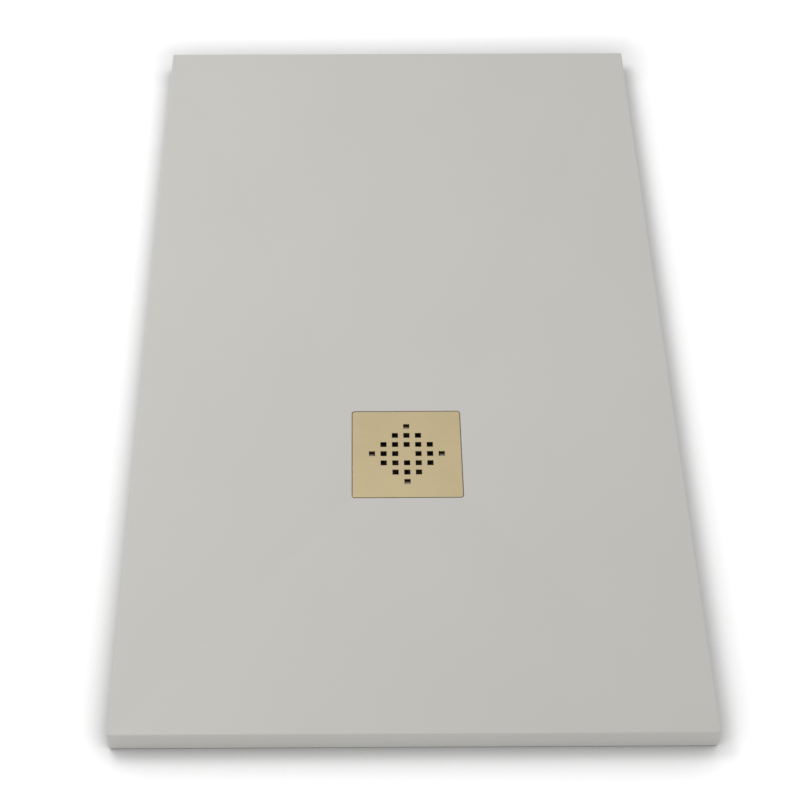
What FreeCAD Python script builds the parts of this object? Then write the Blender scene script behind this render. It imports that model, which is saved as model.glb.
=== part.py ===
import FreeCAD, Part
import os
from types import SimpleNamespace

import Sketcher

# A low shower tray: a cast slab whose four facets fall to a square recess, the perforated
# grate plate that lies in it, and the waste below with its lift-out odour trap and pipe outlet.
# Millimetres. The origin is the middle of the underside, +Y runs to the back and +Z is up.
# Diameters are called widths, and levels below the underside are given as reaches and drops.

DIMENSIONS = (
    # the slab
    ("tray_width", 700, "left to right"),
    ("tray_length", 1200, "front to back"),
    ("rim_height", 30, "outer edge above the underside"),
    ("surface_fall", 12, "drop of the facets from the edge to the recess"),
    ("drain_setback", 415, "front edge to the centre of the waste"),
    ("corner_rounding", 3, "upright corners of the slab"),
    ("edge_rounding", 2, "upper outer edge of the slab"),
    ("rim_land", 0.5, "level strip between that rounding and the facets, at the corners"),
    ("foot_chamfer", 1, "lower outer edge of the slab"),
    # the grate
    ("grate_side", 140, "side of the square plate"),
    ("grate_thickness", 2, "sheet thickness"),
    ("grate_corner", 3, "corner radius of the plate"),
    ("grate_edge", 0.4, "rounding of its upper edge"),
    ("grate_gap", 1.2, "gap between the plate and the recess wall"),
    ("grate_hole", 8, "side of a square hole"),
    ("grate_pitch", 15, "hole to hole"),
    ("arm_count", 3, "holes from the centre of the pattern to a tip"),
    ("pad_height", 1, "pad under the plate"),
    ("pad_width", 12, "pad at the plate"),
    ("pad_foot", 11, "pad at the recess floor"),
    ("pad_inset", 14, "pad centre from the plate's sides"),
    # the waste's seat in the slab
    ("waste_hole_width", 90, "hole through the slab"),
    ("seat_gap", 1.5, "round the flange in its seat"),
    ("flange_sink", 1, "top of the flange below the recess floor"),
    ("rebate_depth", 1.5, "round rebate in the underside"),
    ("rebate_gap", 2, "round the trap's rim in the rebate"),
    # the flange
    ("flange_lip", 12, "plate beyond the waste hole, radial"),
    ("flange_thickness", 1.5, "plate thickness"),
    ("flange_edge", 0.6, "rounding of its upper outer edge"),
    ("flange_seal_thickness", 1, "gasket under it"),
    ("seal_margin", 1.5, "gaskets from the edges beside them"),
    ("neck_gap", 1.5, "thread in the waste hole, radial"),
    ("neck_wall", 2.5, "wall of the neck"),
    ("neck_reach", 16, "neck below the underside"),
    ("ledge_drop", 9, "inner ledge below the flange's top"),
    ("ledge_width", 3, "how far the ledge stands in"),
    ("ledge_thickness", 2, "at its inner edge"),
    ("notch_width", 8, "key notches in the flange's mouth"),
    ("notch_depth", 1.5, "radial"),
    ("notch_height", 5, "along the neck"),
    ("notch_count", 4, "pieces"),
    # the trap's housing
    ("trap_seal_thickness", 2, "gasket between slab and trap"),
    ("trap_lip", 14, "rim beyond the waste hole, radial"),
    ("trap_rim_thickness", 4.5, "of that rim"),
    ("thread_gap", 0.3, "between a thread and its nut or collar, radial"),
    ("collar_wall", 4, "threaded collar"),
    ("collar_reach", 20, "collar below the underside"),
    ("shoulder_height", 6, "cone from collar to bowl"),
    ("bowl_width", 109, "outer width"),
    ("bowl_wall", 2.5, "wall and floor"),
    ("trap_depth", 80, "bottom below the underside"),
    ("bowl_rounding", 6, "outer edge of the bowl's bottom"),
    ("rib_thickness", 2.5, "ribs below the rim"),
    ("rib_inset", 1.5, "ribs from the rim's edge"),
    ("rib_count", 8, "pieces"),
    # the outlet
    ("port_clearance", 1, "stub above the rounded bottom of the bowl"),
    ("port_wall", 4, "wall of the stub on the bowl"),
    ("port_reach", 9, "stub beyond the bowl's wall"),
    ("port_seal_thickness", 2, "gasket on the stub"),
    ("spigot_bore", 36, "waterway"),
    ("tail_wall", 2.7, "round the waterway"),
    ("tail_length", 10, "spigot's tail in the stub"),
    ("tail_gap", 0.3, "round the tail, radial"),
    ("hub_lip", 2.1, "spigot's collar beyond the thread, radial"),
    ("hub_thickness", 4, "of that collar"),
    ("spigot_length", 34, "collar to mouth"),
    ("socket_width", 40.6, "takes a 40 mm pipe"),
    ("spigot_wall", 3.6, "round the socket, thread included"),
    ("socket_depth", 26, "mouth to pipe stop"),
    ("mouth_lip", 0.9, "flat end of the spigot outside its tapered mouth"),
    ("cone_depth", 6, "of that taper"),
    ("pipe_gap", 0.2, "pipe seal and rings wider than the socket, radial"),
    ("cone_seal_start", 2, "seal's thin end above the bottom of the taper"),
    ("cone_seal_head", 3, "seal beyond the mouth"),
    ("slip_ring_thickness", 1.5, "pressure ring"),
    ("slip_ring_gap", 0.6, "round the ring in the nut, radial"),
    ("nut_wall", 4.5, "beside the thread"),
    ("nut_end_wall", 3, "round the pipe"),
    ("nut_overlap", 20, "nut over the spigot"),
    ("grip_height", 1.5, "grip ribs on the nut"),
    ("grip_width", 3, "grip ribs on the nut"),
    ("grip_count", 16, "pieces"),
    # the lift-out odour trap
    ("insert_gap", 0.8, "rims in the neck, radial"),
    ("insert_rim_height", 5, "rim of the dip tube"),
    ("oring_section", 2, "thickness of the O-ring"),
    ("oring_gap", 0.3, "O-ring to the neck, radial"),
    ("oring_rise", 2.5, "centre of the O-ring above the ledge"),
    ("funnel_gap", 0.4, "funnel in the ledge, radial"),
    ("funnel_wall", 2, "wall of funnel and tube"),
    ("funnel_drop", 13, "cone below the ledge"),
    ("dip_bore", 44, "inside the dip tube"),
    ("dip_clearance", 6, "end of the tube above the cup's floor"),
    ("cup_gap", 1.6, "cup through the ledge, radial"),
    ("cup_wall", 2, "wall and floor"),
    ("cup_floor_gap", 3.5, "cup above the bowl's floor"),
    ("cup_rim_drop", 16, "cup's rim below the underside"),
    ("cup_rounding", 5, "outer edge of the cup's bottom"),
    ("vane_thickness", 2.5, "vanes on the dip tube"),
    ("vane_count", 3, "pieces"),
    ("vane_gap", 0.3, "vane tips to the cup, radial"),
    ("vane_drop", 4, "top of the vanes below the cup's rim"),
    ("bead_drop", 8, "snap bead below the cup's rim"),
    ("bead_height", 2, "snap bead"),
    ("bead_depth", 0.8, "snap bead"),
    # the hair strainer
    ("strainer_wall", 1.5, "moulding thickness"),
    ("basket_gap", 0.8, "basket in the funnel's mouth, radial"),
    ("basket_depth", 8, "below its rim"),
    ("basket_taper", 5, "how far its foot is drawn in"),
    ("slot_width", 3, "slots in the floor"),
    ("slot_start", 10, "inner end of a slot from the centre"),
    ("slot_margin", 2.5, "outer end of a slot from the basket's wall"),
    ("slot_count", 12, "pieces"),
    ("knob_width", 8, "lifting knob"),
    ("knob_waist", 5, "lifting knob"),
    ("knob_sink", 0.5, "top of the knob below the strainer's rim"),
)


class Size:
    """A size as a number, for the first sketch, and as the sheet formula that drives it."""

    def __init__(self, number, formula):
        self.number = number
        self.formula = formula

    def __add__(self, other):
        other = as_size(other)
        return Size(self.number + other.number, f"({self.formula} + {other.formula})")

    def __sub__(self, other):
        other = as_size(other)
        return Size(self.number - other.number, f"({self.formula} - {other.formula})")

    def __rsub__(self, other):
        return as_size(other) - self

    def __truediv__(self, other):
        other = as_size(other)
        return Size(self.number / other.number, f"({self.formula} / {other.formula})")

    def __mul__(self, other):
        other = as_size(other)
        return Size(self.number * other.number, f"({self.formula} * {other.formula})")

    def __neg__(self):
        return as_size(0) - self

    def root(self):
        return Size(self.number**0.5, f"sqrt({self.formula})")


def as_size(value):
    """Take a plain number as a size."""
    if isinstance(value, Size):
        return value
    return Size(float(value), str(float(value)))


def fill_sheet(sheet):
    """Write the driving dimensions into the sheet and return them by name."""
    sizes = {}
    for row, (alias, value, note) in enumerate(DIMENSIONS, start=1):
        sheet.set(f"A{row}", alias)
        sheet.set(f"B{row}", str(value))
        sheet.setAlias(f"B{row}", alias)
        sheet.set(f"C{row}", note)
        sizes[alias] = Size(float(value), f"{sheet.Name}.{alias}")
    return SimpleNamespace(**sizes)


doc = FreeCAD.newDocument("ShowerTray")
dim = fill_sheet(doc.addObject("Spreadsheet::Sheet", "Sizes"))
doc.recompute()

# Where the pieces lie. Heights are measured from the underside of the slab.
zero = as_size(0)
drain_y = dim.drain_setback - dim.tray_length / 2
surface_z = dim.rim_height - dim.surface_fall
recess_side = dim.grate_side + dim.grate_gap * 2
recess_z = surface_z - dim.grate_thickness - dim.pad_height
flange_top_z = recess_z - dim.flange_sink
flange_low_z = flange_top_z - dim.flange_thickness
seat_z = flange_low_z - dim.flange_seal_thickness
rebate_z = dim.rebate_depth
hole_r = dim.waste_hole_width / 2
flange_r = hole_r + dim.flange_lip
trap_rim_r = hole_r + dim.trap_lip
rebate_r = trap_rim_r + dim.rebate_gap

neck_r = hole_r - dim.neck_gap
neck_bore_r = neck_r - dim.neck_wall
neck_low_z = -dim.neck_reach
ledge_r = neck_bore_r - dim.ledge_width
ledge_z = flange_top_z - dim.ledge_drop

trap_rim_z = rebate_z - dim.trap_seal_thickness
collar_bore_r = neck_r + dim.thread_gap
collar_r = collar_bore_r + dim.collar_wall
collar_low_z = -dim.collar_reach
bowl_r = dim.bowl_width / 2
bowl_bore_r = bowl_r - dim.bowl_wall
bowl_floor_z = dim.bowl_wall - dim.trap_depth
tail_r = dim.spigot_bore / 2 + dim.tail_wall
port_bore_r = tail_r + dim.tail_gap
port_r = port_bore_r + dim.port_wall
outlet_z = dim.bowl_rounding + dim.port_clearance + port_r - dim.trap_depth

rim_r = neck_bore_r - dim.insert_gap
rim_top_z = ledge_z + dim.insert_rim_height
funnel_r = ledge_r - dim.funnel_gap
funnel_bore_r = funnel_r - dim.funnel_wall
dip_bore_r = dim.dip_bore / 2
dip_r = dip_bore_r + dim.funnel_wall
cone_z = ledge_z - dim.funnel_drop
cup_r = ledge_r - dim.cup_gap
cup_bore_r = cup_r - dim.cup_wall
cup_low_z = bowl_floor_z + dim.cup_floor_gap
cup_floor_z = cup_low_z + dim.cup_wall
cup_rim_z = -dim.cup_rim_drop
bead_top_z = cup_rim_z - dim.bead_drop
bead_low_z = bead_top_z - dim.bead_height

# Along the outlet, measured from the centre line of the waste.
port_y = bowl_r + dim.port_reach
hub_y = port_y + dim.port_seal_thickness
barrel_y = hub_y + dim.hub_thickness
mouth_y = barrel_y + dim.spigot_length
seal_end_y = mouth_y + dim.cone_seal_head
ring_end_y = seal_end_y + dim.slip_ring_thickness
pipe_r = dim.socket_width / 2
sleeve_r = pipe_r + dim.pipe_gap
spigot_r = pipe_r + dim.spigot_wall
cone_r = spigot_r - dim.mouth_lip
hub_r = spigot_r + dim.hub_lip
nut_bore_r = spigot_r + dim.thread_gap
nut_r = nut_bore_r + dim.nut_wall

NEAR = 1e-4
EDGE_SAMPLES = 5
QUARTERS = 4
finished = []


def bind(target, name, size):
    """Drive one property or constraint of an object from the sheet."""
    target.setExpression(name, as_size(size).formula)


def place(target, **axes):
    """Put an object where formulas say, such as y=drain_y."""
    for axis, size in axes.items():
        bind(target, f"Placement.Base.{axis}", size)


def new_body(label, **axes):
    """Start a sub-part."""
    body = doc.addObject("PartDesign::Body", label)
    body.Label = label
    place(body, **axes)
    finished.append(body)
    return body


def new_sketch(body, name, plane, level=zero):
    """Start a sketch on one of the body's own origin planes, moved along its normal."""
    sketch = body.newObject("Sketcher::SketchObject", f"{body.Name}_{name}")
    support = [item for item in body.Origin.OriginFeatures if item.Role == plane]
    sketch.AttachmentSupport = [(support[0], "")]
    sketch.MapMode = "FlatFace"
    bind(sketch, "AttachmentOffset.Base.z", level)
    return sketch


def pin_point(sketch, geometry, point, x, y):
    """Hold one point of a sketch's geometry at x, y from the sketch's origin."""
    for kind, size in (("DistanceX", x), ("DistanceY", y)):
        size = as_size(size)
        rule = Sketcher.Constraint(kind, -1, 1, geometry, point, size.number)
        bind(sketch, f"Constraints[{sketch.addConstraint(rule)}]", size)


def add_outline(sketch, corners):
    """Draw a closed outline of straight lines through corners, given as pairs of sizes."""
    first = sketch.GeometryCount
    corners = [(as_size(x), as_size(y)) for x, y in corners]
    spots = [FreeCAD.Vector(x.number, y.number, 0) for x, y in corners]
    for start, end in zip(spots, spots[1:] + spots[:1]):
        sketch.addGeometry(Part.LineSegment(start, end), False)
    for index, (x, y) in enumerate(corners):
        following = first + (index + 1) % len(corners)
        sketch.addConstraint(Sketcher.Constraint("Coincident", first + index, 2, following, 1))
        pin_point(sketch, first + index, 1, x, y)


def add_rectangle(sketch, low_x, low_y, high_x, high_y):
    """Draw an upright rectangle between two opposite corners."""
    add_outline(sketch, [(low_x, low_y), (high_x, low_y), (high_x, high_y), (low_x, high_y)])


def add_square(sketch, x, y, side):
    """Draw a square round a centre."""
    half = side / 2
    add_rectangle(sketch, x - half, y - half, x + half, y + half)


def add_circle(sketch, radius, x=zero, y=zero):
    """Draw a circle round a centre."""
    centre = FreeCAD.Vector(x.number, y.number, 0)
    up = FreeCAD.Vector(0, 0, 1)
    index = sketch.addGeometry(Part.Circle(centre, up, radius.number), False)
    rule = Sketcher.Constraint("Radius", index, radius.number)
    bind(sketch, f"Constraints[{sketch.addConstraint(rule)}]", radius)
    pin_point(sketch, index, 3, x, y)


def feature(body, kind, name, sketch):
    """Add a sketch-based feature to a body."""
    added = body.newObject(f"PartDesign::{kind}", f"{body.Name}_{name}")
    added.Profile = sketch
    sketch.Visibility = False
    return added


def pad(body, name, sketch, length, reverse=False, both_ways=False):
    """Raise a sketch into material."""
    added = feature(body, "Pad", name, sketch)
    bind(added, "Length", length)
    added.Reversed = reverse
    added.Midplane = both_ways
    doc.recompute()
    return added


def check_cut(body, added, before):
    """Recompute a cut, and make sure that it took some of the volume before it."""
    doc.recompute()
    if not body.Shape.Volume < before - NEAR:
        raise ValueError(f"{added.Name} cuts nothing")


def pocket(body, name, sketch, depth, reverse=False):
    """Sink a sketch into the material."""
    before = body.Shape.Volume
    added = feature(body, "Pocket", name, sketch)
    bind(added, "Length", depth)
    added.Reversed = reverse
    check_cut(body, added, before)
    return added


def turn(body, kind, name, plane, axis, corners):
    """Revolve an outline about its sketch's V_Axis or H_Axis."""
    sketch = new_sketch(body, f"{name}_profile", plane)
    add_outline(sketch, corners)
    added = feature(body, kind, name, sketch)
    added.ReferenceAxis = (sketch, [axis])
    added.Angle = 360
    return added


def turned_upright(body, name, corners):
    """Revolve (radius, height) corners about the centre line of the waste."""
    added = turn(body, "Revolution", name, "XZ_Plane", "V_Axis", corners)
    doc.recompute()
    return added


def turned_out(body, name, corners):
    """Cut a revolved (radius, height) outline out of the material."""
    before = body.Shape.Volume
    added = turn(body, "Groove", name, "XZ_Plane", "V_Axis", corners)
    check_cut(body, added, before)
    return added


def turned_along(body, name, corners):
    """Revolve (distance along the outlet, radius) corners about the outlet's centre line."""
    added = turn(body, "Revolution", name, "YZ_Plane", "H_Axis", corners)
    doc.recompute()
    return added


def repeat_round(body, name, original, axis, count):
    """Repeat a feature evenly about one of the body's axes."""
    added = body.newObject("PartDesign::PolarPattern", f"{body.Name}_{name}")
    added.Originals = [original]
    line = [item for item in body.Origin.OriginFeatures if item.Role == axis]
    added.Axis = (line[0], [""])
    added.Angle = 360
    bind(added, "Occurrences", count)
    body.Tip = added
    doc.recompute()
    return added


def edges_where(shape, test):
    """Name the edges of a shape whose every sampled point passes a test."""
    found = []
    for index, edge in enumerate(shape.Edges, start=1):
        if all(test(point) for point in edge.discretize(EDGE_SAMPLES)):
            found.append(f"Edge{index}")
    if not found:
        raise ValueError("no edge passes the test")
    return found


def dress(body, kind, name, base, test, size, key):
    """Round or chamfer the edges of a feature that pass a test."""
    added = body.newObject(f"PartDesign::{kind}", f"{body.Name}_{name}")
    added.Base = (base, edges_where(base.Shape, test))
    bind(added, key, size)
    doc.recompute()
    return added


def rounded(body, name, base, test, radius):
    """Round edges."""
    return dress(body, "Fillet", name, base, test, radius, "Radius")


def chamfered(body, name, base, test, size):
    """Chamfer edges."""
    return dress(body, "Chamfer", name, base, test, size, "Size")


def at(value, size):
    """Say whether a measured coordinate is at a size."""
    return abs(value - size.number) < NEAR


def reach(first, second):
    """Distance from an axis, given the two coordinates across it."""
    return (first**2 + second**2) ** 0.5


# ---- the slab ----


def make_slab():
    """Cast slab with four flat facets, the grate's recess and the waste's seat."""
    body = new_body("tray_slab")
    half_x = dim.tray_width / 2
    half_y = dim.tray_length / 2

    outline = new_sketch(body, "outline", "XY_Plane")
    add_rectangle(outline, -half_x, -half_y, half_x, half_y)
    block = pad(body, "block", outline, dim.rim_height)

    def upright(point):
        return at(abs(point.x), half_x) and at(abs(point.y), half_y)

    corners = rounded(body, "corners", block, upright, dim.corner_rounding)
    edge = rounded(
        body, "edge", corners, lambda point: at(point.z, dim.rim_height), dim.edge_rounding
    )
    foot = chamfered(body, "foot", edge, lambda point: at(point.z, zero), dim.foot_chamfer)
    body.Tip = foot

    # the facets run straight from the rim's land to the sides of the square recess; the
    # wedge is laid on its back, so that its y is the slab's height and its z is -y
    diagonal = as_size(2).root()
    inset = dim.corner_rounding * (diagonal - 1) + dim.edge_rounding + dim.rim_land
    inset = inset / diagonal
    facets = body.newObject("PartDesign::SubtractiveWedge", "tray_slab_facets")
    facets.Placement.Rotation = FreeCAD.Rotation(FreeCAD.Vector(1, 0, 0), 90)
    half_recess = recess_side / 2
    limits = {
        "Ymin": surface_z,
        "Xmin": -half_recess,
        "Xmax": half_recess,
        "Zmin": -half_recess - drain_y,
        "Zmax": half_recess - drain_y,
        "Ymax": dim.rim_height,
        "X2min": inset - half_x,
        "X2max": half_x - inset,
        "Z2min": inset - half_y,
        "Z2max": half_y - inset,
    }
    for name, size in limits.items():
        bind(facets, name, size)
    check_cut(body, facets, foot.Shape.Volume)

    recess = new_sketch(body, "recess", "XY_Plane", surface_z)
    add_square(recess, zero, drain_y, recess_side)
    well = pocket(body, "well", recess, surface_z - recess_z)

    def recess_corner(point):
        side = recess_side / 2
        across = at(abs(point.x), side) and at(abs(point.y - drain_y.number), side)
        return across and point.z < surface_z.number + NEAR

    rounded(body, "well_corners", well, recess_corner, dim.grate_corner + dim.grate_gap)

    seat = new_sketch(body, "seat", "XY_Plane", recess_z)
    add_circle(seat, flange_r + dim.seat_gap, zero, drain_y)
    pocket(body, "seat_cut", seat, recess_z - seat_z)

    hole = new_sketch(body, "hole", "XY_Plane", seat_z)
    add_circle(hole, hole_r, zero, drain_y)
    pocket(body, "hole_cut", hole, seat_z)

    rebate = new_sketch(body, "rebate", "XY_Plane", rebate_z)
    add_circle(rebate, rebate_r, zero, drain_y)
    pocket(body, "rebate_cut", rebate, rebate_z)


# ---- the grate ----


def make_grate():
    """Square plate with 24 square holes in a diamond: six, turned four times."""
    body = new_body("grate_plate", y=drain_y, z=surface_z - dim.grate_thickness)
    side = dim.grate_side / 2

    outline = new_sketch(body, "outline", "XY_Plane")
    add_square(outline, zero, zero, dim.grate_side)
    sheet = pad(body, "sheet", outline, dim.grate_thickness)
    corners = rounded(
        body,
        "corners",
        sheet,
        lambda point: at(abs(point.x), side) and at(abs(point.y), side),
        dim.grate_corner,
    )
    edge = rounded(
        body, "edge", corners, lambda point: at(point.z, dim.grate_thickness), dim.grate_edge
    )
    body.Tip = edge

    holes = new_sketch(body, "holes", "XY_Plane", dim.grate_thickness)
    arm = int(dim.arm_count.number)
    for column in range(1, arm + 1):
        for row in range(arm + 1 - column):
            add_square(holes, dim.grate_pitch * column, dim.grate_pitch * row, dim.grate_hole)
    quarter = pocket(body, "quarter", holes, dim.grate_thickness)
    repeat_round(body, "diamond", quarter, "Z_Axis", QUARTERS)


def make_pad(label, x_sign, y_sign):
    """Soft foot under one corner of the plate."""
    foot = doc.addObject("Part::Cone", label)
    foot.Label = label
    bind(foot, "Radius1", dim.pad_foot / 2)
    bind(foot, "Radius2", dim.pad_width / 2)
    bind(foot, "Height", dim.pad_height)
    offset = dim.grate_side / 2 - dim.pad_inset
    place(foot, x=offset * x_sign, y=drain_y + offset * y_sign, z=recess_z)
    finished.append(foot)


# ---- the waste ----


def make_flange():
    """Threaded flange that clamps the trap to the slab, with a ledge for the lift-out trap."""
    body = new_body("waste_flange", y=drain_y)
    slope = dim.ledge_width
    ring = turned_upright(
        body,
        "ring",
        [
            (neck_bore_r, neck_low_z),
            (neck_r, neck_low_z),
            (neck_r, flange_low_z),
            (flange_r, flange_low_z),
            (flange_r, flange_top_z),
            (neck_bore_r, flange_top_z),
            (neck_bore_r, ledge_z),
            (ledge_r, ledge_z),
            (ledge_r, ledge_z - dim.ledge_thickness),
            (neck_bore_r, ledge_z - dim.ledge_thickness - slope),
        ],
    )

    def outer_edge(point):
        return at(point.z, flange_top_z) and at(reach(point.x, point.y), flange_r)

    body.Tip = rounded(body, "edge", ring, outer_edge, dim.flange_edge)

    notch = new_sketch(body, "notch", "XY_Plane", flange_top_z)
    half = dim.notch_width / 2
    add_rectangle(notch, neck_bore_r - dim.notch_depth, -half, neck_bore_r + dim.notch_depth, half)
    cut = pocket(body, "notch_cut", notch, dim.notch_height)
    repeat_round(body, "notches", cut, "Z_Axis", dim.notch_count)


def make_gasket(label, rim_r, low, high):
    """Flat gasket between the edge of the waste hole and the edge of a rim."""
    body = new_body(label, y=drain_y)
    inner = hole_r + dim.seal_margin
    outer = rim_r - dim.seal_margin
    turned_upright(body, "ring", [(inner, low), (outer, low), (outer, high), (inner, high)])


def make_collar():
    """Trap's upper shell: a rim and a threaded collar, with ribs between them."""
    body = new_body("trap_collar", y=drain_y)
    rim_low_z = trap_rim_z - dim.trap_rim_thickness
    turned_upright(
        body,
        "ring",
        [
            (collar_bore_r, trap_rim_z),
            (trap_rim_r, trap_rim_z),
            (trap_rim_r, rim_low_z),
            (collar_r, rim_low_z),
            (collar_r, collar_low_z),
            (collar_bore_r, collar_low_z),
        ],
    )
    rib = new_sketch(body, "rib", "XZ_Plane")
    rib_r = trap_rim_r - dim.rib_inset
    root_r = collar_bore_r + dim.collar_wall / 2
    add_outline(
        rib,
        [
            (root_r, rim_low_z + dim.rib_inset),
            (rib_r, rim_low_z + dim.rib_inset),
            (rib_r, rim_low_z - dim.rib_inset),
            (collar_r + dim.rib_inset, collar_low_z + dim.rib_inset),
            (root_r, collar_low_z + dim.rib_inset),
        ],
    )
    rib_pad = pad(body, "rib_pad", rib, dim.rib_thickness, both_ways=True)
    repeat_round(body, "ribs", rib_pad, "Z_Axis", dim.rib_count)


def make_bowl():
    """Trap's lower shell, welded to the collar: a shoulder and a bowl with the outlet's stub."""
    body = new_body("trap_bowl", y=drain_y)
    bowl_top_z = collar_low_z - dim.shoulder_height
    turned_upright(
        body,
        "mass",
        [
            (zero, collar_low_z),
            (collar_r, collar_low_z),
            (bowl_r, bowl_top_z),
            (bowl_r, -dim.trap_depth),
            (zero, -dim.trap_depth),
        ],
    )

    # the stub runs out of the bowl's wall, and the hollow is turned out afterwards
    stub = new_sketch(body, "stub", "XZ_Plane", -port_y)
    add_circle(stub, port_r, zero, outlet_z)
    pad(body, "stub_pad", stub, port_y)
    hollow = turned_out(
        body,
        "hollow",
        [
            (zero, collar_low_z),
            (collar_bore_r, collar_low_z),
            (collar_bore_r, collar_low_z - dim.bowl_wall),
            (bowl_bore_r, bowl_top_z - dim.bowl_wall),
            (bowl_bore_r, bowl_floor_z),
            (zero, bowl_floor_z),
        ],
    )

    def floor_edge(point):
        return at(point.z, bowl_floor_z) and at(reach(point.x, point.y), bowl_bore_r)

    def bottom_edge(point):
        return at(point.z, -dim.trap_depth) and at(reach(point.x, point.y), bowl_r)

    floor = rounded(body, "floor", hollow, floor_edge, dim.bowl_rounding - dim.bowl_wall)
    body.Tip = rounded(body, "bottom", floor, bottom_edge, dim.bowl_rounding)
    bore = new_sketch(body, "bore", "XZ_Plane", -port_y)
    add_circle(bore, port_bore_r, zero, outlet_z)
    pocket(body, "bore_cut", bore, port_y - cup_r, reverse=True)


# ---- the outlet ----


def make_outlet_turning(label, corners):
    """Piece turned about the outlet's centre line."""
    body = new_body(label, y=drain_y, z=outlet_z)
    turned_along(body, "turning", corners)
    return body


def make_outlet():
    """Gasket, spigot, pipe seal and slip ring, in the order that the water meets them."""
    make_outlet_turning(
        "port_seal",
        [(port_y, port_bore_r), (port_y, port_r), (hub_y, port_r), (hub_y, port_bore_r)],
    )
    make_outlet_turning(
        "outlet_spigot",
        [
            (port_y - dim.tail_length, dim.spigot_bore / 2),
            (port_y - dim.tail_length, tail_r),
            (hub_y, tail_r),
            (hub_y, hub_r),
            (barrel_y, hub_r),
            (barrel_y, spigot_r),
            (mouth_y, spigot_r),
            (mouth_y, cone_r),
            (mouth_y - dim.cone_depth, pipe_r),
            (mouth_y - dim.socket_depth, pipe_r),
            (mouth_y - dim.socket_depth, dim.spigot_bore / 2),
        ],
    )
    taper = (cone_r - pipe_r) * dim.cone_seal_start / dim.cone_depth
    seal_start_y = mouth_y - dim.cone_depth + dim.cone_seal_start
    make_outlet_turning(
        "cone_seal",
        [
            (seal_start_y, sleeve_r),
            (seal_start_y, pipe_r + taper),
            (mouth_y, cone_r),
            (mouth_y, spigot_r),
            (seal_end_y, spigot_r),
            (seal_end_y, sleeve_r),
        ],
    )
    ring_r = nut_bore_r - dim.slip_ring_gap
    make_outlet_turning(
        "slip_ring",
        [
            (seal_end_y, sleeve_r),
            (seal_end_y, ring_r),
            (ring_end_y, ring_r),
            (ring_end_y, sleeve_r),
        ],
    )


def make_nut():
    """Compression nut with grip ribs."""
    start_y = mouth_y - dim.nut_overlap
    end_y = ring_end_y + dim.nut_end_wall
    body = make_outlet_turning(
        "outlet_nut",
        [
            (start_y, nut_bore_r),
            (start_y, nut_r),
            (end_y, nut_r),
            (end_y, sleeve_r),
            (ring_end_y, sleeve_r),
            (ring_end_y, nut_bore_r),
        ],
    )

    def end_edge(point):
        return at(point.y, end_y) and at(reach(point.x, point.z), nut_r)

    body.Tip = chamfered(body, "end", body.Tip, end_edge, dim.grip_height)
    grip = new_sketch(body, "grip", "XZ_Plane", -start_y)
    half = dim.grip_width / 2
    add_rectangle(grip, nut_r - dim.grip_height, -half, nut_r + dim.grip_height, half)
    length = end_y - start_y - dim.grip_height * 2
    bar = pad(body, "grip_pad", grip, length, reverse=True)
    repeat_round(body, "grips", bar, "Y_Axis", dim.grip_count)


# ---- the lift-out odour trap ----


def make_dip_tube():
    """Rim with an O-ring groove, funnel, tube, and the vanes that carry the cup."""
    body = new_body("dip_tube", y=drain_y)
    low_z = cup_floor_z + dim.dip_clearance
    groove_r = neck_bore_r - dim.oring_gap - dim.oring_section
    groove_z = ledge_z + dim.oring_rise
    half_groove = dim.oring_section / 2 + dim.oring_gap
    turned_upright(
        body,
        "shell",
        [
            (rim_r, ledge_z),
            (rim_r, groove_z - half_groove),
            (groove_r, groove_z - half_groove),
            (groove_r, groove_z + half_groove),
            (rim_r, groove_z + half_groove),
            (rim_r, rim_top_z),
            (funnel_bore_r, rim_top_z),
            (funnel_bore_r, ledge_z),
            (dip_bore_r, cone_z),
            (dip_bore_r, low_z),
            (dip_r, low_z),
            (dip_r, cone_z - dim.funnel_wall / 2),
            (funnel_r, ledge_z - dim.funnel_wall / 2),
            (funnel_r, ledge_z),
        ],
    )

    vane = new_sketch(body, "vane", "YZ_Plane")
    root_r = dip_bore_r + dim.funnel_wall / 2
    tip_r = cup_bore_r - dim.vane_gap
    top_z = cup_rim_z - dim.vane_drop
    bead_r = cup_bore_r + dim.bead_depth - dim.vane_gap
    add_outline(
        vane,
        [
            (root_r, cup_floor_z),
            (tip_r - dim.cup_rounding, cup_floor_z),
            (tip_r, cup_floor_z + dim.cup_rounding),
            (tip_r, bead_low_z),
            (bead_r, bead_low_z),
            (bead_r, bead_top_z - dim.bead_height / 2),
            (tip_r, bead_top_z),
            (tip_r, top_z),
            (root_r, top_z),
        ],
    )
    vane_pad = pad(body, "vane_pad", vane, dim.vane_thickness, both_ways=True)
    repeat_round(body, "vanes", vane_pad, "Z_Axis", dim.vane_count)


def make_cup():
    """Cup that holds the water seal, with the groove that the vanes' beads snap into."""
    body = new_body("seal_cup", y=drain_y)
    shell = turned_upright(
        body,
        "shell",
        [
            (zero, cup_low_z),
            (cup_r, cup_low_z),
            (cup_r, cup_rim_z),
            (cup_bore_r, cup_rim_z),
            (cup_bore_r, bead_top_z),
            (cup_bore_r + dim.bead_depth, bead_top_z),
            (cup_bore_r + dim.bead_depth, bead_low_z),
            (cup_bore_r, bead_low_z),
            (cup_bore_r, cup_floor_z),
            (zero, cup_floor_z),
        ],
    )

    def bottom_edge(point):
        return at(point.z, cup_low_z) and at(reach(point.x, point.y), cup_r)

    def floor_edge(point):
        return at(point.z, cup_floor_z) and at(reach(point.x, point.y), cup_bore_r)

    outer = rounded(body, "bottom", shell, bottom_edge, dim.cup_rounding)
    body.Tip = rounded(body, "floor", outer, floor_edge, dim.cup_rounding - dim.cup_wall)


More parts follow.
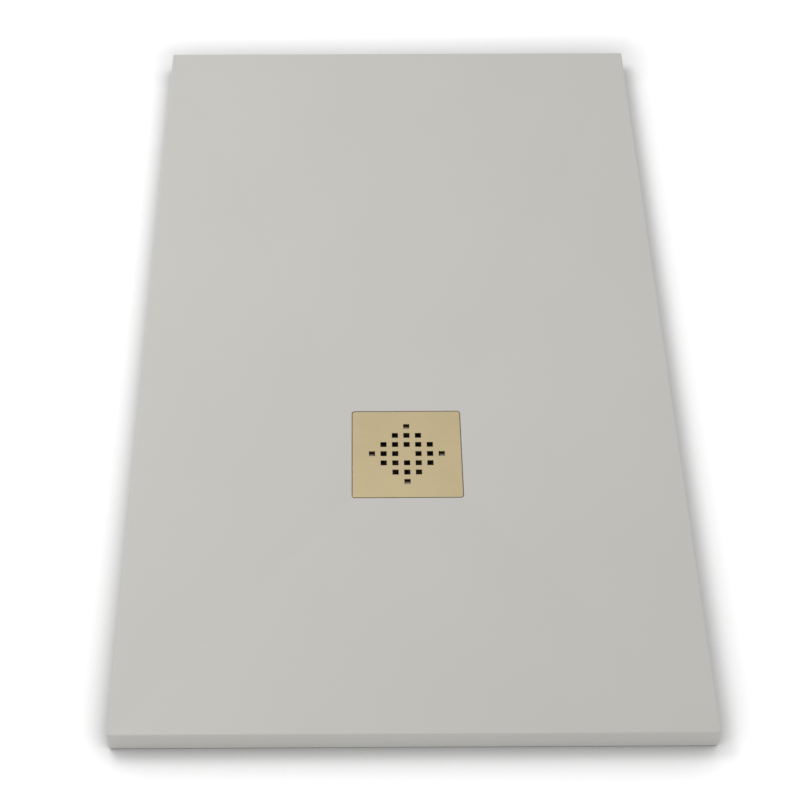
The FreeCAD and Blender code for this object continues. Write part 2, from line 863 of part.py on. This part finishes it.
def make_oring():
    """O-ring in the dip tube's groove."""
    ring = doc.addObject("Part::Torus", "cup_seal")
    ring.Label = "cup_seal"
    bind(ring, "Radius1", neck_bore_r - dim.oring_gap - dim.oring_section / 2)
    bind(ring, "Radius2", dim.oring_section / 2)
    place(ring, y=drain_y, z=ledge_z + dim.oring_rise)
    finished.append(ring)


def make_strainer():
    """Hair basket with a slotted floor and a knob to lift it by."""
    body = new_body("hair_strainer", y=drain_y)
    top_z = rim_top_z + dim.strainer_wall
    floor_low_z = rim_top_z - dim.basket_depth
    floor_z = floor_low_z + dim.strainer_wall
    mouth_r = funnel_bore_r - dim.basket_gap
    foot_r = mouth_r - dim.basket_taper
    knob_z = top_z - dim.knob_sink
    knob_r = dim.knob_width / 2
    basket = turned_upright(
        body,
        "basket",
        [
            (zero, floor_low_z),
            (foot_r, floor_low_z),
            (mouth_r, rim_top_z),
            (rim_r, rim_top_z),
            (rim_r, top_z),
            (mouth_r - dim.strainer_wall, top_z),
            (foot_r - dim.strainer_wall, floor_z),
            (dim.knob_waist / 2, floor_z),
            (dim.knob_waist / 2, knob_z - dim.strainer_wall * 2),
            (knob_r, knob_z - dim.strainer_wall),
            (knob_r, knob_z),
            (zero, knob_z),
        ],
    )

    def knob_edge(point):
        return at(point.z, knob_z) and at(reach(point.x, point.y), knob_r)

    body.Tip = rounded(body, "knob", basket, knob_edge, dim.strainer_wall / 2)
    slot = new_sketch(body, "slot", "XY_Plane", floor_z)
    half = dim.slot_width / 2
    slot_end = foot_r - dim.strainer_wall - dim.slot_margin
    add_rectangle(slot, dim.slot_start, -half, slot_end, half)
    cut = pocket(body, "slot_cut", slot, dim.strainer_wall)
    repeat_round(body, "slots", cut, "Z_Axis", dim.slot_count)


def write_parts():
    """Check every object, then write each sub-part to its own file."""
    for item in doc.Objects:
        if "Invalid" in item.State or "Error" in item.State:
            raise ValueError(f"{item.Name} failed: {item.State}")
    os.makedirs("parts", exist_ok=True)
    for item in finished:
        if item.Shape.isNull() or not item.Shape.isValid():
            raise ValueError(f"{item.Label} has no valid shape")
    for item in finished:
        item.Shape.exportStep(f"parts/{item.Label}.step")
        box = item.Shape.BoundBox
        print(f"{item.Label}: {box.XLength:.1f} x {box.YLength:.1f} x {box.ZLength:.1f}")


make_slab()
make_grate()
for depth_name, depth_sign in (("front", -1), ("back", 1)):
    for side_name, side_sign in (("left", -1), ("right", 1)):
        make_pad(f"grate_pad_{depth_name}_{side_name}", side_sign, depth_sign)
make_flange()
make_gasket("flange_seal", flange_r, seat_z, flange_low_z)
make_gasket("body_seal", trap_rim_r, trap_rim_z, rebate_z)
make_collar()
make_bowl()
make_outlet()
make_nut()
make_dip_tube()
make_cup()
make_oring()
make_strainer()
doc.recompute()
write_parts()
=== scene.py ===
import math

import bmesh
import bpy
from mathutils import Matrix, Vector


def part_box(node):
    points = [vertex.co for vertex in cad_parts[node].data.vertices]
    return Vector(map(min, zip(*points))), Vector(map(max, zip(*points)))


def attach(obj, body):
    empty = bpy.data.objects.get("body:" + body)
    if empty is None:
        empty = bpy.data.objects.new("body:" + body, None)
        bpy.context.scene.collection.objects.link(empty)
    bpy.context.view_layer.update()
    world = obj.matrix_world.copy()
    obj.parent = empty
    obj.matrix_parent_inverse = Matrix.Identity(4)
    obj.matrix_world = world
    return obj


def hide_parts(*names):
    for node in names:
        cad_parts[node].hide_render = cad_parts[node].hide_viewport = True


bl_info = {
    "name": "Shower Tray",
    "version": (1, 0, 0),
    "blender": (4, 5, 0),
    "location": "View3D > Sidebar > Shower Tray",
    "description": "Finishes a low resin shower tray with its gold waste grate",
    "category": "Object",
}

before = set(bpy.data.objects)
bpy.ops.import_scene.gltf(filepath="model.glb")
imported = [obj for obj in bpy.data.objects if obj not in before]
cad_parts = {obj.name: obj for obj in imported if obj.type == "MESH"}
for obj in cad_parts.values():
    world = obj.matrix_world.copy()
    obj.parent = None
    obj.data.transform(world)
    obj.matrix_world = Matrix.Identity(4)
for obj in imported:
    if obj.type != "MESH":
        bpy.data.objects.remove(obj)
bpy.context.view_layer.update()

SLAB_LOW, SLAB_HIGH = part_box("tray_slab")
SPIGOT_LOW, SPIGOT_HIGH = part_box("outlet_spigot")


# ---------------------------------------------------------------------------
# Sizes and colours that a user would change
# ---------------------------------------------------------------------------


def colour(name, description, default):
    """A linear colour setting."""
    return bpy.props.FloatVectorProperty(
        name=name,
        description=description,
        subtype="COLOR",
        size=3,
        min=0.0,
        max=1.0,
        default=default,
    )


def length(name, description, default):
    """A length setting in metres."""
    return bpy.props.FloatProperty(
        name=name, description=description, default=default, min=0.0, unit="LENGTH"
    )


def share(name, description, default):
    """A plain number from 0 to 1."""
    return bpy.props.FloatProperty(
        name=name, description=description, default=default, min=0.0, max=1.0
    )


def angle(name, description, degrees):
    """An angle setting, with its default in degrees."""
    return bpy.props.FloatProperty(
        name=name,
        description=description,
        default=math.radians(degrees),
        subtype="ANGLE",
    )


def spot(name, description, default):
    """A place in the scene, in metres."""
    return bpy.props.FloatVectorProperty(
        name=name, description=description, default=default, subtype="TRANSLATION"
    )


class TrayLook(bpy.types.PropertyGroup):
    """Finish of the cast slab."""

    resin: colour("Resin", "Colour of the cast resin", (0.522, 0.511, 0.484))
    cloud: share("Clouding", "How far the pigment drifts across the slab", 0.012)
    grain: length("Grain", "Depth of the matt gel coat's fine grain", 0.00012)
    matt: share("Roughness", "Roughness of the gel coat", 0.5)
    filler: colour("Filler", "Colour of the bare underside", (0.40, 0.385, 0.355))
    pour: length("Pour", "Depth of the bare underside's unevenness", 0.0012)


class GrateLook(bpy.types.PropertyGroup):
    """Finish of the grate plate."""

    gold: colour("Gold", "Colour of the champagne coating", (0.49, 0.405, 0.243))
    satin: share("Roughness", "Roughness along the brushing", 0.34)
    scratch: length("Brushing", "Depth of the brush lines", 0.00003)


class WasteLook(bpy.types.PropertyGroup):
    """Finishes of the waste and the trap."""

    # Darker than bright chrome: partly the plating, partly painted shade for the hollow
    # under the grate
    flange: colour("Flange", "Colour of the flange's plating", (0.20, 0.187, 0.172))
    housing: colour("Housing", "Colour of the trap housing", (0.78, 0.78, 0.76))
    insert: colour("Insert", "Colour of the lift-out trap", (0.011, 0.0095, 0.009))
    rubber: colour("Rubber", "Colour of the seals", (0.025, 0.025, 0.026))
    moulding: length("Moulding", "Depth of the moulded plastic's grain", 0.00006)


class SpigotLook(bpy.types.PropertyGroup):
    """Sizes of the outlet spigot, along its axis from the tail's end."""

    bore: length("Bore", "Radius of the waterway", 0.018)
    tail: length("Tail", "Radius of the tail that sits in the trap's stub", 0.0207)
    socket: length("Socket", "Radius of the waste pipe's socket", 0.0203)
    mouth: length("Mouth", "Radius of the tapered mouth", 0.023)
    crest: length("Crest", "Radius over the thread", 0.0239)
    root: length("Root", "Radius between the thread's turns", 0.0230)
    pitch: length("Pitch", "Advance of the thread in one turn", 0.0023)
    tail_end: length("Tail end", "Where the tail meets the collar", 0.012)
    collar_end: length("Collar end", "Where the collar meets the barrel", 0.016)
    pipe_stop: length("Pipe stop", "Where the socket starts", 0.024)
    taper_start: length("Taper", "Where the mouth's taper starts", 0.044)
    edge: length("Edge", "Rounding of the collar's and mouth's edges", 0.0004)


class StageLook(bpy.types.PropertyGroup):
    """Floor, light and camera."""

    floor_size: length("Floor", "Side of the floor", 14.0)
    floor_drop: length("Floor gap", "Floor below the slab's underside", 0.0006)
    floor_inset: length("Floor inset", "Slab over the floor opening's edge", 0.002)
    floor_white: share("White", "Reflectance of the floor", 0.98)
    floor_shaded: share("Shaded", "Light's own shading that the camera sees", 0.9)
    floor_glow: share("Glow", "Plain white where the camera looks", 0.325)
    # Settings of the painted shadow in the floor's colour round the slab
    painted_contact_reach: length("Contact shadow", "How far the slab's shade reaches", 0.08)
    painted_contact_depth: bpy.props.FloatProperty(
        name="Contact depth",
        description="How dark that shade is for what the slab hides from the floor",
        default=1.1,
        min=0.0,
        max=2.0,
    )
    painted_contact_curve: share("Contact curve", "Below 1, that shade fades slowly", 0.85)
    # Settings of the painted shadow band on the floor behind the slab
    painted_back_step: length("Back shadow", "Where the shade behind the slab is darkest", 0.04)
    painted_back_reach: length("Back reach", "How far that shade reaches from there", 0.09)
    painted_back_depth: share("Back depth", "How dark that shade is", 0.28)
    sky: share("Sky", "Strength of the even light from all round", 0.77)
    key_power: bpy.props.FloatProperty(
        name="Key light",
        description="Power of the soft light above",
        default=11.5,
        min=0.0,
        unit="POWER",
    )
    key_place: spot("Key place", "Where that light hangs", (-0.92, 0.36, 1.79))
    key_side: length("Key side", "Side of that light", 0.7)
    camera_place: spot("Camera", "Where the camera stands", (-0.0570, -1.6229, 1.8494))
    camera_tilt: angle("Tilt", "How far the camera looks down", 50.159)
    camera_turn: angle("Turn", "How far the camera is turned to the left", -0.377)
    camera_roll: angle("Roll", "How far the camera leans", 0.033)
    lens: bpy.props.FloatProperty(
        name="Lens",
        description="Focal length on a 36 mm frame",
        default=81.28,
        min=1.0,
        unit="CAMERA",
    )
    shift: bpy.props.FloatProperty(
        name="Shift", description="Sideways shift of the frame", default=0.0375
    )


# ---------------------------------------------------------------------------
# Node helpers
# ---------------------------------------------------------------------------

# The range that holds most of a noise value
NOISE_LOW, NOISE_HIGH = 0.25, 0.75

# A face belongs to the underside where its normal's height is below this
DOWNWARD = -0.5


def new_material(name):
    """An empty node material and its tree."""
    made = bpy.data.materials.new(name)
    made.use_nodes = True
    made.node_tree.nodes.clear()
    return made, made.node_tree


def add_node(tree, kind, inputs=None, **settings):
    """Add a node with its settings, and link or set its inputs by label or order."""
    made = tree.nodes.new(kind)
    for name, value in settings.items():
        setattr(made, name, value)
    for label, value in (inputs or {}).items():
        if isinstance(value, bpy.types.NodeSocket):
            tree.links.new(value, made.inputs[label])
        else:
            made.inputs[label].default_value = value
    return made


def reckon(tree, operation, *terms, **settings):
    """A Math node's value, from terms that are numbers or other values."""
    made = add_node(
        tree, "ShaderNodeMath", dict(enumerate(terms)), operation=operation, **settings
    )
    return made.outputs["Value"]


def noise(tree, scale, detail, stretch=(1.0, 1.0, 1.0)):
    """Noise in object space, in cycles per metre, stretched along the axes."""
    place = add_node(tree, "ShaderNodeTexCoord").outputs["Object"]
    turned = add_node(tree, "ShaderNodeMapping", {"Vector": place, "Scale": stretch})
    made = add_node(
        tree,
        "ShaderNodeTexNoise",
        {"Vector": turned.outputs["Vector"], "Scale": scale, "Detail": detail},
    )
    return made.outputs["Fac"]


def spread(tree, value, low, high):
    """Map a noise value's usual range to low..high."""
    made = add_node(
        tree,
        "ShaderNodeMapRange",
        {
            "Value": value,
            "From Min": NOISE_LOW,
            "From Max": NOISE_HIGH,
            "To Min": low,
            "To Max": high,
        },
    )
    return made.outputs["Result"]


def tinted(tree, base, value, amount):
    """A colour that is darker and lighter by a share, as a value runs from 0 to 1."""
    ramp = add_node(tree, "ShaderNodeValToRGB", {"Fac": value})
    low, high = ramp.color_ramp.elements
    low.position, high.position = NOISE_LOW, NOISE_HIGH
    low.color = [part * (1.0 - amount) for part in base] + [1.0]
    high.color = [min(part * (1.0 + amount), 1.0) for part in base] + [1.0]
    return ramp.outputs["Color"]


def bump(tree, value, depth, under=None):
    """Raise the surface by depth as a value runs from 0 to 1, over another bump."""
    inputs = {"Height": value, "Distance": depth, "Strength": 1.0}
    if under is not None:
        inputs["Normal"] = under
    return add_node(tree, "ShaderNodeBump", inputs).outputs["Normal"]


def mixed(tree, factor, first, second):
    """One colour where a value is 0 and another where it is 1."""
    made = add_node(tree, "ShaderNodeMix", data_type="RGBA")
    into = {socket.identifier: socket for socket in made.inputs}
    tree.links.new(factor, into["Factor_Float"])
    tree.links.new(first, into["A_Color"])
    tree.links.new(second, into["B_Color"])
    return next(out for out in made.outputs if out.identifier == "Result_Color")


def axis_values(tree, source, label):
    """The X, Y and Z values of a vector that a node gives."""
    vector = add_node(tree, source).outputs[label]
    return add_node(tree, "ShaderNodeSeparateXYZ", {"Vector": vector}).outputs


def underside(tree):
    """1 on faces that look down, and 0 elsewhere."""
    normal = axis_values(tree, "ShaderNodeNewGeometry", "Normal")
    return reckon(tree, "LESS_THAN", normal["Z"], DOWNWARD)


def background_ray(tree):
    """1 for the camera's rays, also by gloss or through glass, and 0 elsewhere."""
    ray = add_node(tree, "ShaderNodeLightPath").outputs
    seen = reckon(tree, "MAXIMUM", ray["Is Camera Ray"], ray["Is Glossy Ray"])
    return reckon(tree, "MAXIMUM", seen, ray["Is Transmission Ray"])


def surface(tree, inputs):
    """Give a material its Principled surface."""
    shader = add_node(tree, "ShaderNodeBsdfPrincipled", inputs).outputs["BSDF"]
    add_node(tree, "ShaderNodeOutputMaterial", {"Surface": shader})


# ---------------------------------------------------------------------------
# Materials
# ---------------------------------------------------------------------------

# How far a roughness drifts either way from its setting
DRIFT = 0.05

# How far the gold's roughness drifts below and above its setting
SATIN_BELOW, SATIN_ABOVE = 0.04, 0.06


def cast_resin(look):
    """Matt mineral-filled resin: a grained gel coat, bare uneven filler underneath."""
    made, tree = new_material("cast_resin")
    cloud = noise(tree, scale=5.0, detail=3.0)
    skin = noise(tree, scale=700.0, detail=5.0)
    pour = noise(tree, scale=55.0, detail=6.0)
    bare = underside(tree)
    coat = tinted(tree, look.resin, cloud, look.cloud)
    filler = tinted(tree, look.filler, pour, amount=0.12)
    grained = bump(tree, skin, look.grain)
    poured = reckon(tree, "MULTIPLY", pour, bare)
    surface(
        tree,
        {
            "Base Color": mixed(tree, bare, coat, filler),
            "Roughness": spread(tree, skin, look.matt - DRIFT, look.matt + DRIFT),
            "Normal": bump(tree, poured, look.pour, under=grained),
        },
    )
    return made


def brushed_gold(look):
    """Champagne coated sheet, brushed from left to right."""
    made, tree = new_material("brushed_gold")
    lines = noise(tree, scale=60.0, detail=6.0, stretch=(0.5, 40.0, 40.0))
    haze = noise(tree, scale=14.0, detail=2.0)
    surface(
        tree,
        {
            "Base Color": tinted(tree, look.gold, lines, amount=0.05),
            "Metallic": 1.0,
            "Roughness": spread(
                tree, haze, look.satin - SATIN_BELOW, look.satin + SATIN_ABOVE
            ),
            "Normal": bump(tree, lines, look.scratch),
        },
    )
    return made


def moulded(name, tint, depth, roughness, gloss=0.5):
    """Injection-moulded plastic with a faint satin grain."""
    made, tree = new_material(name)
    skin = noise(tree, scale=900.0, detail=3.0)
    flow = noise(tree, scale=30.0, detail=2.0)
    surface(
        tree,
        {
            "Base Color": tinted(tree, tint, flow, amount=0.04),
            "Specular IOR Level": gloss,
            "Roughness": spread(tree, flow, roughness - DRIFT, roughness + DRIFT),
            "Normal": bump(tree, skin, depth),
        },
    )
    return made


def housing_white(look):
    """The white plastic of the trap and its outlet, made once."""
    made = bpy.data.materials.get("housing_white")
    return made or moulded(
        "housing_white", look.housing, look.moulding, roughness=0.4
    )


def plating_with_painted_shade(look):
    """Chromium plating on a moulding, its roughness varied by a soap film, its colour
    darkened as painted shade for the hollow under the grate.
    """
    made, tree = new_material("flange_plated")
    film = noise(tree, scale=90.0, detail=3.0)
    surface(
        tree,
        {
            "Base Color": tinted(tree, look.flange, film, amount=0.08),
            "Metallic": 1.0,
            "Roughness": spread(tree, film, low=0.16, high=0.3),
        },
    )
    return made


def seal_rubber(look):
    """Black rubber with a dusty bloom."""
    made, tree = new_material("seal_rubber")
    bloom = noise(tree, scale=120.0, detail=4.0)
    surface(
        tree,
        {
            "Base Color": tinted(tree, look.rubber, bloom, amount=0.3),
            "Roughness": spread(tree, bloom, low=0.62, high=0.8),
            "Normal": bump(tree, bloom, depth=0.00008),
        },
    )
    return made


def painted_contact_shadow(tree, look):
    """Painted shadow round the slab: the share of the floor's colour kept, lower where
    the slab hides more of the floor's surroundings.
    """
    contact = add_node(
        tree, "ShaderNodeAmbientOcclusion", {"Distance": look.painted_contact_reach}, samples=16
    )
    hidden = reckon(tree, "SUBTRACT", 1.0, contact.outputs["AO"])
    faded = reckon(tree, "POWER", hidden, look.painted_contact_curve)
    return reckon(
        tree, "MULTIPLY_ADD", faded, -look.painted_contact_depth, 1.0, use_clamp=True
    )


def painted_back_shadow(tree, look):
    """Painted shadow behind the slab: the share of the floor's colour kept in a soft
    band, darkest a step behind the back edge.
    """
    place = axis_values(tree, "ShaderNodeTexCoord", "Object")
    across = reckon(tree, "ABSOLUTE", place["X"])
    beside = reckon(tree, "SUBTRACT", across, SLAB_HIGH.x)
    beside = reckon(tree, "MAXIMUM", beside, 0.0)
    past = reckon(tree, "SUBTRACT", place["Y"], SLAB_HIGH.y + look.painted_back_step)
    squared = reckon(tree, "MULTIPLY", beside, beside)
    squared = reckon(tree, "MULTIPLY_ADD", past, past, squared)
    # Share of the floor's colour kept: painted shadow, darkest on the band's line and
    # gone at its reach
    light = add_node(
        tree,
        "ShaderNodeMapRange",
        {
            "Value": reckon(tree, "SQRT", squared),
            "From Max": look.painted_back_reach,
            "To Min": 1.0 - look.painted_back_depth,
        },
    )
    return light.outputs["Result"]


def floor_with_painted_shadow(look):
    """Pale floor that keeps the lamps' shadow and is white to the camera where it is
    lit, with painted shadow round and behind the slab.
    """
    made, tree = new_material("floor_with_painted_shadow")
    seen = background_ray(tree)
    painted_shadow = reckon(tree, "MULTIPLY", painted_contact_shadow(tree, look), painted_back_shadow(tree, look))
    # Camera rays see the painted shadow in the floor's colour and glow; other rays see
    # the plain white floor
    white = add_node(
        tree,
        "ShaderNodeMapRange",
        {
            "Value": seen,
            "To Min": look.floor_white,
            "To Max": reckon(tree, "MULTIPLY", painted_shadow, look.floor_shaded),
        },
    )
    colour_with_painted_shadow = {"Color": white.outputs["Result"]}
    matt = add_node(tree, "ShaderNodeBsdfDiffuse", colour_with_painted_shadow)
    strength = reckon(tree, "MULTIPLY", seen, look.floor_glow)
    glow = add_node(tree, "ShaderNodeEmission", {"Color": painted_shadow, "Strength": strength})
    both = add_node(
        tree,
        "ShaderNodeAddShader",
        {0: matt.outputs["BSDF"], 1: glow.outputs["Emission"]},
    )
    back = add_node(tree, "ShaderNodeNewGeometry").outputs["Backfacing"]
    clear = add_node(tree, "ShaderNodeBsdfTransparent").outputs["BSDF"]
    either = add_node(
        tree, "ShaderNodeMixShader", {"Fac": back, 1: both.outputs["Shader"], 2: clear}
    )
    add_node(tree, "ShaderNodeOutputMaterial", {"Surface": either.outputs["Shader"]})
    return made


def dress(names, material):
    """Give a material to CAD nodes."""
    for name in names:
        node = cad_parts[name]
        if not node.material_slots:
            node.data.materials.append(material)
        for slot in node.material_slots:
            slot.material = material


# ---------------------------------------------------------------------------
# Operators, one for each piece or group of like pieces
# ---------------------------------------------------------------------------


def put(name, data):
    """A new object in the scene."""
    made = bpy.data.objects.new(name, data)
    bpy.context.collection.objects.link(made)
    return made


def put_shape(name, shape, material):
    """A finished bmesh as an object with its material."""
    mesh = bpy.data.meshes.new(name)
    shape.to_mesh(mesh)
    shape.free()
    mesh.materials.append(material)
    return put(name, mesh)


class TrayOperator(bpy.types.Operator):
    """Finish the cast slab"""

    bl_idname = "shower_tray.tray"
    bl_label = "Tray"

    def execute(self, context):
        dress(["tray_slab"], cast_resin(context.scene.tray_look))
        return {"FINISHED"}


class GrateOperator(bpy.types.Operator):
    """Finish the grate plate"""

    bl_idname = "shower_tray.grate"
    bl_label = "Grate"

    def execute(self, context):
        dress(["grate_plate"], brushed_gold(context.scene.grate_look))
        return {"FINISHED"}


class WasteOperator(bpy.types.Operator):
    """Finish the flange, the trap and its outlet, the seals and the grate's pads"""

    bl_idname = "shower_tray.waste"
    bl_label = "Waste and trap"

    def execute(self, context):
        look = context.scene.waste_look
        dress(["waste_flange"], plating_with_painted_shade(look))
        dress(
            ["trap_collar", "trap_bowl", "outlet_spigot", "outlet_nut", "slip_ring"],
            housing_white(look),
        )
        dress(
            ["dip_tube", "seal_cup", "hair_strainer"],
            moulded(
                "insert_dark", look.insert, look.moulding, roughness=0.6, gloss=0.3
            ),
        )
        pads = [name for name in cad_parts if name.startswith("grate_pad")]
        seals = ["flange_seal", "body_seal", "port_seal", "cone_seal", "cup_seal"]
        dress(pads + seals, seal_rubber(look))
        return {"FINISHED"}


class SpigotOperator(bpy.types.Operator):
    """Turn the outlet spigot and wind its thread"""

    bl_idname = "shower_tray.spigot"
    bl_label = "Outlet spigot"

    ROUND = 96  # facets round the barrel
    WOUND = 48  # facets in one turn of the thread
    RUN_OUT = WOUND // 3  # facets over which the thread grows at each end
    GROWN = 2  # facets of that growth which its very end already has
    END_RING = 0.0024  # plain ring between the thread and the mouth, in metres
    BURIED = 0.0003  # how far the thread's foot lies in the barrel, in metres
    CORNER = math.radians(60)  # edges sharper than this are rounded
    CREASE = math.radians(32)  # edges sharper than this are shaded as creases

    def execute(self, context):
        look = context.scene.spigot_look
        shape = bmesh.new()
        full = SPIGOT_HIGH.y - SPIGOT_LOW.y
        self.turn_barrel(shape, look, full)
        self.wind_thread(shape, look, full)
        bmesh.ops.recalc_face_normals(shape, faces=shape.faces)
        place = (SPIGOT_LOW + SPIGOT_HIGH) / 2
        place.y = SPIGOT_LOW.y
        bmesh.ops.translate(shape, verts=shape.verts, vec=place)
        white = housing_white(context.scene.waste_look)
        spigot = put_shape("threaded_spigot", shape, white)
        spigot.data.shade_smooth()
        spigot.data.set_sharp_from_angle(angle=self.CREASE)
        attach(spigot, "tray")
        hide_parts("outlet_spigot")
        return {"FINISHED"}

    def turn_barrel(self, shape, look, full):
        """Tail, collar, barrel and socket as one turned tube with rounded rims."""
        thread_end = full - self.END_RING
        section = (
            (look.bore, 0.0),
            (look.tail, 0.0),
            (look.tail, look.tail_end),
            (SPIGOT_HIGH.x, look.tail_end),
            (SPIGOT_HIGH.x, look.collar_end),
            (look.root, look.collar_end),
            (look.root, thread_end - look.edge),
            (look.crest, thread_end + look.edge),
            (look.crest, full),
            (look.mouth, full),
            (look.socket, look.taper_start),
            (look.socket, look.pipe_stop),
            (look.bore, look.pipe_stop),
        )
        points = [shape.verts.new((radius, along, 0)) for radius, along in section]
        rims = [
            shape.edges.new(pair) for pair in zip(points, points[1:] + points[:1])
        ]
        bmesh.ops.spin(
            shape,
            geom=points + rims,
            cent=(0, 0, 0),
            axis=(0, 1, 0),
            dvec=(0, 0, 0),
            angle=math.tau,
            steps=self.ROUND,
            use_merge=True,
        )
        bmesh.ops.recalc_face_normals(shape, faces=shape.faces)
        rounded = [
            edge
            for edge in shape.edges
            if edge.is_manifold
            and edge.calc_face_angle() > self.CORNER
            and all(self.rounds(vert, look, full) for vert in edge.verts)
        ]
        bmesh.ops.bevel(
            shape,
            geom=rounded,
            offset=look.edge,
            offset_type="OFFSET",
            affect="EDGES",
            segments=2,
            profile=0.5,
            material=-1,
        )

    def rounds(self, vert, look, full):
        """Whether a point lies on the collar's rims or at either end of the tube."""
        close = look.edge / 2
        reach = math.hypot(vert.co.x, vert.co.z)
        at_end = min(vert.co.y, full - vert.co.y) < close
        return at_end or abs(reach - SPIGOT_HIGH.x) < close

    def wind_thread(self, shape, look, full):
        """A closed ridge wound round the barrel, run out into it at both ends."""
        low = look.root - self.BURIED
        start = look.collar_end + look.edge
        flank = look.pitch / 4
        section = (
            (low, start),
            (look.crest, start + flank),
            (look.crest, start + flank * 2),
            (low, start + flank * 3),
        )
        points = [shape.verts.new((radius, along, 0)) for radius, along in section]
        cap = shape.faces.new(points)
        turns = (full - self.END_RING - start - look.pitch) / look.pitch
        steps = round(turns * self.WOUND)
        before = len(shape.verts) - len(points)
        bmesh.ops.spin(
            shape,
            geom=[cap, *cap.edges, *cap.verts],
            cent=(0, 0, 0),
            axis=(0, 1, 0),
            dvec=(0, look.pitch / self.WOUND, 0),
            angle=math.tau * steps / self.WOUND,
            steps=steps,
        )
        shape.verts.ensure_lookup_table()
        for order, vert in enumerate(shape.verts[before:]):
            near = order // len(points)
            from_end = min(near, steps - near) + self.GROWN
            grown = min(1.0, from_end / self.RUN_OUT)
            reach = math.hypot(vert.co.x, vert.co.z)
            drawn = (low + (reach - low) * grown) / reach
            vert.co.x *= drawn
            vert.co.z *= drawn


class StageOperator(bpy.types.Operator):
    """Lay the floor, set the lights and stand the camera for the photograph's view"""

    bl_idname = "shower_tray.stage"
    bl_label = "Stage"

    FRAME_WIDTH = 36.0  # width of the camera's frame, in millimetres

    def execute(self, context):
        look = context.scene.stage_look
        self.lay_floor(look)
        self.light_sky(context, look)
        self.hang_light(look)
        self.stand_camera(context, look)
        context.scene.view_settings.view_transform = "Standard"
        return {"FINISHED"}

    def lay_floor(self, look):
        """A square just below the slab's underside, open where the slab covers it."""
        shape = bmesh.new()
        middle = (SLAB_LOW + SLAB_HIGH) / 2
        middle.z = SLAB_LOW.z - look.floor_drop
        opening = SLAB_HIGH - SLAB_LOW - Vector((1, 1, 0)) * look.floor_inset * 2
        bmesh.ops.create_grid(shape, x_segments=1, y_segments=1, size=0.5)
        bmesh.ops.scale(shape, vec=(opening.x, opening.y, 1), verts=shape.verts)
        patch = list(shape.faces)
        drawn = bmesh.ops.extrude_edge_only(shape, edges=shape.edges)["geom"]
        outer = [item for item in drawn if isinstance(item, bmesh.types.BMVert)]
        wide = (look.floor_size / opening.x, look.floor_size / opening.y, 1)
        bmesh.ops.scale(shape, vec=wide, verts=outer)
        bmesh.ops.delete(shape, geom=patch, context="FACES_ONLY")
        bmesh.ops.translate(shape, verts=shape.verts, vec=middle)
        bmesh.ops.recalc_face_normals(shape, faces=shape.faces)
        if sum(face.normal.z for face in shape.faces) < 0:
            bmesh.ops.reverse_faces(shape, faces=shape.faces)
        put_shape("floor", shape, floor_with_painted_shadow(look))

    def light_sky(self, context, look):
        """Even white light, which the camera, gloss and glass see as plain white."""
        world = bpy.data.worlds.new("studio")
        world.use_nodes = True
        tree = world.node_tree
        strength = add_node(
            tree,
            "ShaderNodeMapRange",
            {"Value": background_ray(tree), "To Min": look.sky, "To Max": 1.0},
        )
        sky = next(node for node in tree.nodes if node.type == "BACKGROUND")
        sky.inputs["Color"].default_value = (1.0, 1.0, 1.0, 1.0)
        tree.links.new(strength.outputs["Result"], sky.inputs["Strength"])
        context.scene.world = world

    def hang_light(self, look):
        """A square soft light that looks at the middle of the tray."""
        lamp = bpy.data.lights.new("key_light", "AREA")
        lamp.shape = "SQUARE"
        lamp.size = look.key_side
        lamp.energy = look.key_power
        hung = put("key_light", lamp)
        hung.location = look.key_place
        hung.rotation_mode = "QUATERNION"
        hung.rotation_quaternion = (-Vector(look.key_place)).to_track_quat("-Z", "Y")
        hung.visible_camera = False

    def stand_camera(self, context, look):
        """The photograph's own view."""
        lens = bpy.data.cameras.new("camera")
        lens.lens = look.lens
        lens.sensor_width = self.FRAME_WIDTH
        lens.sensor_fit = "HORIZONTAL"
        lens.shift_x = look.shift
        stand = put("camera", lens)
        place = Matrix.Translation(look.camera_place)
        turn = Matrix.Rotation(look.camera_turn, 4, "Z")
        tilt = Matrix.Rotation(math.pi / 2 - look.camera_tilt, 4, "X")
        roll = Matrix.Rotation(look.camera_roll, 4, "Z")
        stand.matrix_world = place @ turn @ tilt @ roll
        context.scene.camera = stand


class TrayPanel(bpy.types.Panel):
    """Lists the pieces and their settings in the sidebar"""

    bl_idname = "VIEW3D_PT_shower_tray"
    bl_label = "Shower Tray"
    bl_space_type = "VIEW_3D"
    bl_region_type = "UI"
    bl_category = "Shower Tray"

    def draw(self, context):
        for operator in OPERATORS:
            self.layout.operator(operator.bl_idname)
        for name in LOOKS:
            look = getattr(context.scene, name)
            for key in look.bl_rna.properties.keys():
                if key not in {"rna_type", "name"}:
                    self.layout.prop(look, key)


LOOKS = {
    "tray_look": TrayLook,
    "grate_look": GrateLook,
    "waste_look": WasteLook,
    "spigot_look": SpigotLook,
    "stage_look": StageLook,
}
OPERATORS = (TrayOperator, GrateOperator, WasteOperator, SpigotOperator, StageOperator)
CLASSES = (*LOOKS.values(), *OPERATORS, TrayPanel)


def register():
    """Register the settings, the operators and the panel."""
    for one in CLASSES:
        bpy.utils.register_class(one)
    for name, look in LOOKS.items():
        setattr(bpy.types.Scene, name, bpy.props.PointerProperty(type=look))


def unregister():
    """Take them back in the opposite order."""
    for name in LOOKS:
        delattr(bpy.types.Scene, name)
    for one in reversed(CLASSES):
        bpy.utils.unregister_class(one)


def main():
    """Make every piece."""
    register()
    bpy.ops.shower_tray.stage()
    bpy.ops.shower_tray.tray()
    bpy.ops.shower_tray.grate()
    bpy.ops.shower_tray.waste()
    bpy.ops.shower_tray.spigot()


if __name__ == "__main__":
    main()
